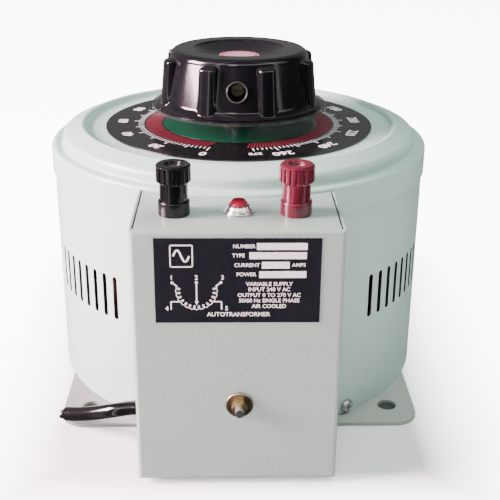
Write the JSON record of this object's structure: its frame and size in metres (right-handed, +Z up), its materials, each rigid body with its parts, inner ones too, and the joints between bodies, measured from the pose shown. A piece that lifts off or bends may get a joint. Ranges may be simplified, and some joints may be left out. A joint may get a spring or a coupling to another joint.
{
  "type": "variable autotransformer",
  "caption": "Round-cased toroidal variable autotransformer with a dialled knob, a clear pointer disc and a front terminal box with binding posts.",
  "frame": {"origin": "on the shaft axis, at the underside of the base plate", "axes": "+Z up along the shaft, -Y towards the terminal box at the front, +X to the right of a person facing the terminals"},
  "size_m": [0.26, 0.324, 0.2252],
  "materials": {
    "case_paint": "semi-gloss powder coat with fine orange peel",
    "plate_paint": "semi-gloss paint, slightly scuffed",
    "zinc_steel": "bright zinc plating",
    "dial_black": "gloss black printed dial",
    "brass_turned": "turned brass, lightly tarnished",
    "label_black": "gloss black printed plate",
    "ground_steel": "ground steel",
    "fibre_board": "pressed fibre board",
    "copper_winding": "enamelled copper wire, varnished",
    "cast_alloy": "cast and machined",
    "carbon": "pressed carbon",
    "phenolic": "phenolic moulding",
    "red_pvc": "PVC insulation",
    "black_pvc": "PVC sheath",
    "green_pvc": "PVC insulation",
    "black_rubber": "moulded rubber",
    "grey_rubber": "moulded rubber",
    "black_bakelite": "gloss thermoset moulding",
    "red_moulding": "gloss thermoset moulding",
    "chrome_bezel": "bright chrome",
    "lamp_red": "ribbed clear red plastic",
    "lamp_white": "moulded nylon",
    "bronze_washer": "dark passivated washer",
    "knob_cap_disc": "printed disc",
    "clear_disc": "clear acrylic"
  },
  "bodies": {
    "root": {"base_plate": "plate_paint", "drum_shell": "case_paint", "case_screws": "zinc_steel", "top_cover": "case_paint", "dial_plate": "dial_black", "dial_bush": "brass_turned", "terminal_box": "case_paint", "box_frame": "zinc_steel", "rating_label": "label_black", "toroid_core": "ground_steel", "core_insulation": "fibre_board", "winding": "copper_winding", "coil_pads": "fibre_board", "centre_hub": "cast_alloy", "hub_screws": "zinc_steel", "coil_clamp": "cast_alloy", "clamp_screws": "zinc_steel", "shaft_bushes": "brass_turned", "thrust_washer": "brass_turned", "collector_ring": "brass_turned", "collector_base": "fibre_board", "stop_post": "zinc_steel", "terminal_strip": "phenolic", "strip_screws": "brass_turned", "red_wires": "red_pvc", "black_wires": "black_pvc", "green_wires": "green_pvc", "wire_grommet": "black_rubber", "cable_grommet": "grey_rubber", "mains_cable": "black_pvc", "cable_clamp": "zinc_steel", "black_post_base": "black_bakelite", "red_post_base": "red_moulding", "post_studs": "brass_turned", "post_bushes": "black_bakelite", "panel_nuts": "brass_turned", "lamp_bezel": "chrome_bezel", "lamp_lens": "lamp_red", "lamp_body": "lamp_white", "earth_stud": "zinc_steel"},
    "rotor": {"shaft": "ground_steel", "brush_arm": "cast_alloy", "set_screws": "zinc_steel", "brush_holder": "brass_turned", "carbon_brush": "carbon", "brush_spring": "ground_steel", "collector_finger": "brass_turned", "knob": "black_bakelite", "knob_cap": "knob_cap_disc", "pointer_disc": "clear_disc"},
    "black_lift": {"black_post_washer": "brass_turned"},
    "black_grip": {"black_post_cap": "black_bakelite", "black_post_insert": "brass_turned"},
    "red_lift": {"red_post_washer": "brass_turned"},
    "red_grip": {"red_post_cap": "red_moulding", "red_post_insert": "brass_turned"},
    "earth_lift": {"earth_washer": "bronze_washer"},
    "earth_grip": {"earth_nut": "brass_turned"}
  },
  "joints": [
    {"name": "knob_turn", "type": "hinge", "parent": "root", "child": "rotor", "pos_m": [0, 0, 0.19], "axis": [0, 0, 1], "range_deg": [-170.95, 165.2]},
    {"name": "black_cap_lift", "type": "slide", "parent": "root", "child": "black_lift", "axis": [0, 0, 1], "range_m": [0, 0.004]},
    {"name": "black_cap_turn", "type": "hinge", "parent": "black_lift", "child": "black_grip", "pos_m": [-0.03775, -0.1564, 0.17], "axis": [0, 0, 1], "range_deg": [0, 1450]},
    {"name": "red_cap_lift", "type": "slide", "parent": "root", "child": "red_lift", "axis": [0, 0, 1], "range_m": [0, 0.004]},
    {"name": "red_cap_turn", "type": "hinge", "parent": "red_lift", "child": "red_grip", "pos_m": [0.03015, -0.1564, 0.17], "axis": [0, 0, 1], "range_deg": [0, 1450]},
    {"name": "earth_nut_lift", "type": "slide", "parent": "root", "child": "earth_lift", "axis": [0, -1, 0], "range_m": [0, 0.004]},
    {"name": "earth_nut_turn", "type": "hinge", "parent": "earth_lift", "child": "earth_grip", "pos_m": [-0.0014, -0.186, 0.0552], "axis": [0, -1, 0], "range_deg": [0, 1810]}
  ],
  "couplings": [
    {"joint": "black_cap_turn", "follows": "black_cap_lift", "rad_per_m": 6283.2},
    {"joint": "red_cap_turn", "follows": "red_cap_lift", "rad_per_m": 6283.2},
    {"joint": "earth_nut_turn", "follows": "earth_nut_lift", "rad_per_m": 7854}
  ]
}
